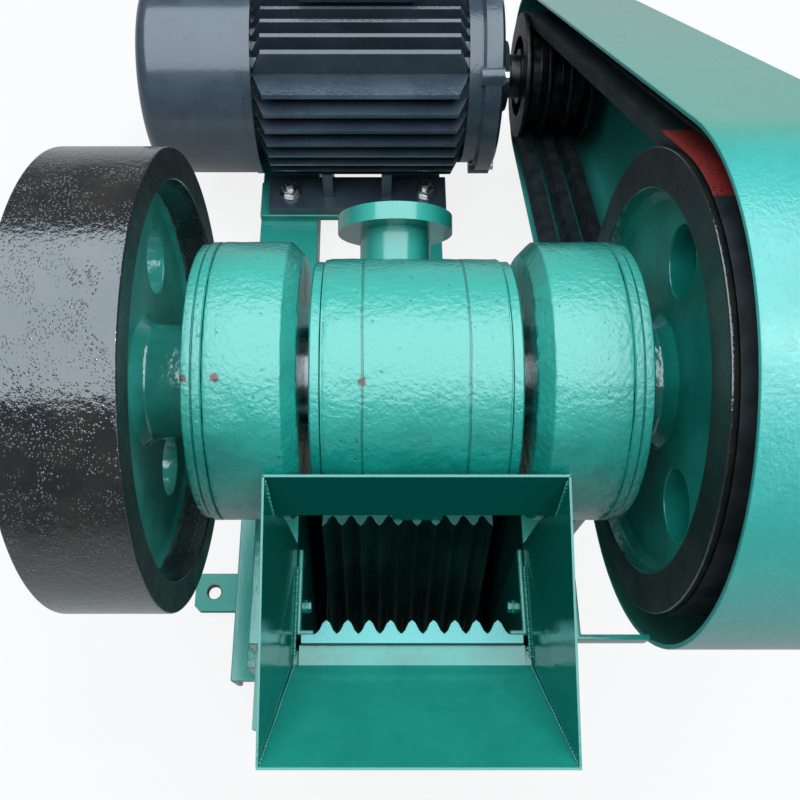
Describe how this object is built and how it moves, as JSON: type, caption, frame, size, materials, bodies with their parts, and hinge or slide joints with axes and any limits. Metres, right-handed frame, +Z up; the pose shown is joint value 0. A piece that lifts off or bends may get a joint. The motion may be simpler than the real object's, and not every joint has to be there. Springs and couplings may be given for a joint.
{
  "type": "laboratory jaw crusher",
  "caption": "Small jaw crusher with a square feed hopper, two heavy wheels on an eccentric shaft, and a finned motor driving it by V-belts on a common welded base.",
  "frame": {"origin": "on the floor under the middle of the eccentric shaft", "axes": "+X along the eccentric shaft towards the belts, +Y back towards the motor, +Z up"},
  "size_m": [0.44, 0.761, 0.507],
  "materials": {
    "green_enamel": "gloss, rough casting under it",
    "green_sheet": "gloss on sheet metal",
    "black_rim": "gloss black with fine droplets",
    "machined_steel": "turned",
    "jaw_iron": "painted over, satin",
    "cast_pulley": "dark, satin",
    "spring_steel": "oiled",
    "belt_rubber": "matt",
    "motor_paint": "semi-gloss blue-grey"
  },
  "bodies": {
    "base": {"left_rail": "green_enamel", "right_rail": "green_enamel", "motor_rail": "green_enamel", "front_cross_member": "green_enamel", "centre_cross_member": "green_enamel", "rear_cross_member": "green_enamel", "motor_seat": "green_enamel", "anchor_lugs": "green_enamel", "left_side_wall": "green_enamel", "right_side_wall": "green_enamel", "front_wall": "green_enamel", "rear_wall": "green_enamel", "discharge_chute": "green_enamel", "left_bearing_housing": "green_enamel", "right_bearing_housing": "green_enamel", "left_bearing_cap": "green_enamel", "right_bearing_cap": "green_enamel", "fixed_jaw_plate": "jaw_iron", "left_cheek_plate": "green_sheet", "right_cheek_plate": "green_sheet", "hopper": "green_sheet", "inner_belt": "belt_rubber", "middle_belt": "belt_rubber", "outer_belt": "belt_rubber", "motor_body": "motor_paint", "fan_cover": "motor_paint", "drive_end_shield": "motor_paint", "motor_feet": "motor_paint", "terminal_box": "motor_paint", "belt_guard": "green_sheet", "guard_stays": "green_enamel"},
    "drive_shaft": {"eccentric_shaft": "machined_steel", "flywheel": "black_rim", "drive_pulley": "black_rim"},
    "swing_jaw": {"swing_jaw": "green_enamel", "jaw_head_rings": "green_enamel", "swing_jaw_plate": "jaw_iron", "jaw_wedge": "green_enamel", "tension_rod": "machined_steel", "tension_spring": "spring_steel"},
    "motor_rotor": {"motor_pulley": "cast_pulley", "motor_shaft": "machined_steel"},
    "adjuster": {"adjusting_wheel": "green_enamel"},
    "toggle": {"toggle_block": "machined_steel", "toggle_plate": "machined_steel"}
  },
  "joints": [
    {"name": "shaft_spin", "type": "hinge", "parent": "base", "child": "drive_shaft", "pos_m": [0, 0, 0.37], "axis": [1, 0, 0], "continuous": true},
    {"name": "jaw_orbit", "type": "hinge", "parent": "drive_shaft", "child": "swing_jaw", "pos_m": [0, 0, 0.366], "axis": [1, 0, 0], "continuous": true},
    {"name": "motor_spin", "type": "hinge", "parent": "base", "child": "motor_rotor", "pos_m": [0, 0.436, 0.148], "axis": [1, 0, 0], "continuous": true},
    {"name": "adjuster_turn", "type": "hinge", "parent": "base", "child": "adjuster", "pos_m": [-0.005, 0.14794, 0.2644], "axis": [0, 0.9397, 0.342], "range_deg": [-360, 360]},
    {"name": "toggle_slide", "type": "slide", "parent": "base", "child": "toggle", "axis": [0, 0.9397, 0.342], "range_m": [-0.002, 0.002]}
  ],
  "couplings": [
    {"joint": "jaw_orbit", "follows": "shaft_spin", "ratio": -1},
    {"joint": "motor_spin", "follows": "shaft_spin", "ratio": 2.2},
    {"joint": "toggle_slide", "follows": "adjuster_turn", "m_per_rad": 0.00031831}
  ]
}
